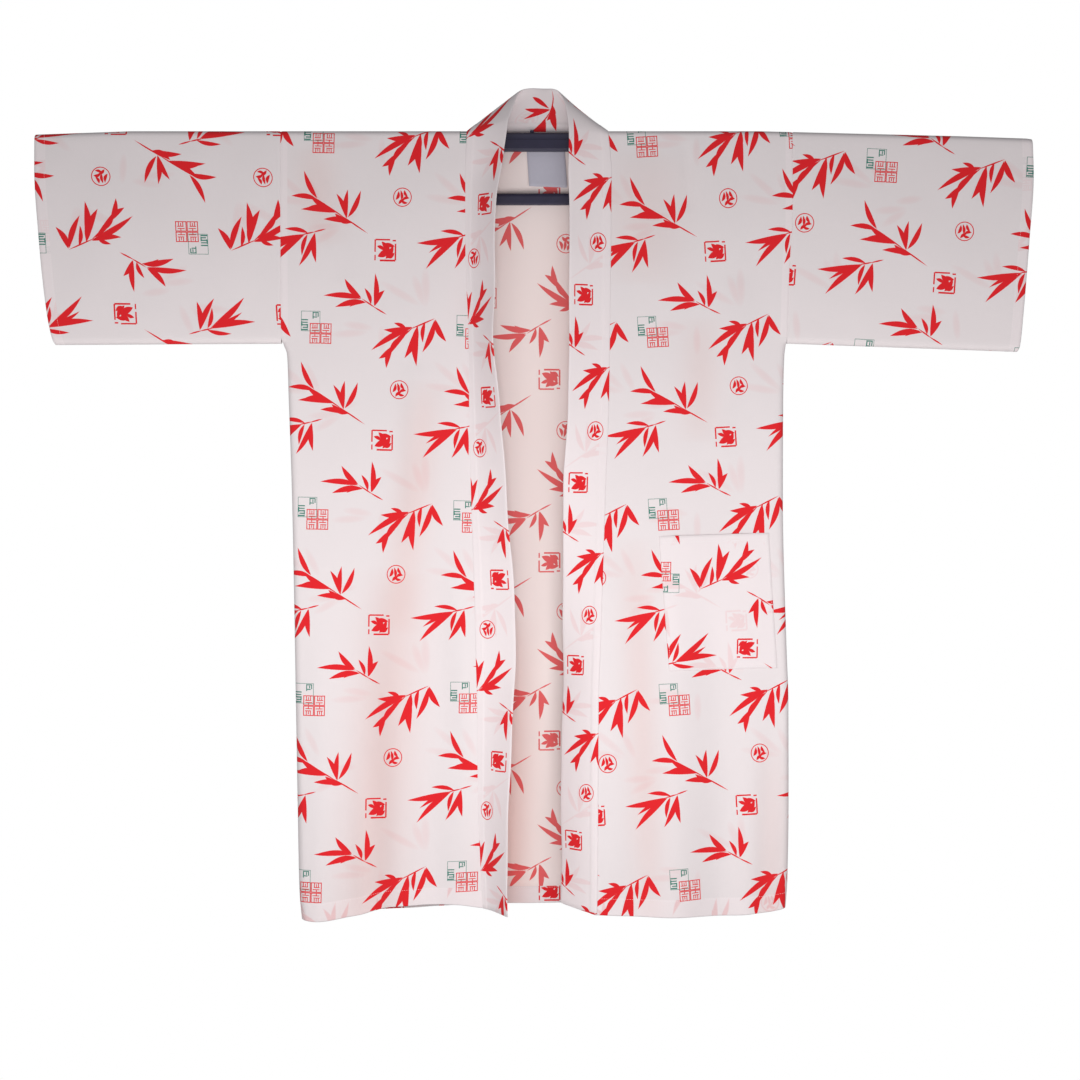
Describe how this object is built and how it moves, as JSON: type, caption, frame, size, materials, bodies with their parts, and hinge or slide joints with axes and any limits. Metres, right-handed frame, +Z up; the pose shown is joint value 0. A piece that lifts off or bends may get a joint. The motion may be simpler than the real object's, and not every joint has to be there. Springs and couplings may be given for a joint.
{
  "type": "short yukata on a hanging bar",
  "caption": "Short cotton yukata with straight flat sleeves, a collar band and a patch pocket, printed with bamboo leaves, hung open on a slim bar with a lower rail.",
  "frame": {"origin": "top of the hook socket in the middle of the upper bar, where the hanging bar is held", "axes": "+X to the viewer's right along the bar, the open front faces -Y, +Z up"},
  "size_m": [1.2698, 0.0897, 1.0603],
  "materials": {
    "printed_cotton": "plain-woven white cotton printed with red bamboo leaves",
    "label_tape": "smooth woven tape, bare",
    "bar_plastic": "dark navy moulded plastic, satin"
  },
  "bodies": {
    "root": {"back": "printed_cotton", "collar": "printed_cotton", "front_right": "printed_cotton", "front_left": "printed_cotton", "sleeve_right": "printed_cotton", "sleeve_left": "printed_cotton", "pocket": "printed_cotton", "label": "label_tape", "upper_bar": "bar_plastic", "lower_bar": "bar_plastic", "upright_right": "bar_plastic", "upright_left": "bar_plastic", "hook_socket": "bar_plastic"}
  },
  "joints": []
}
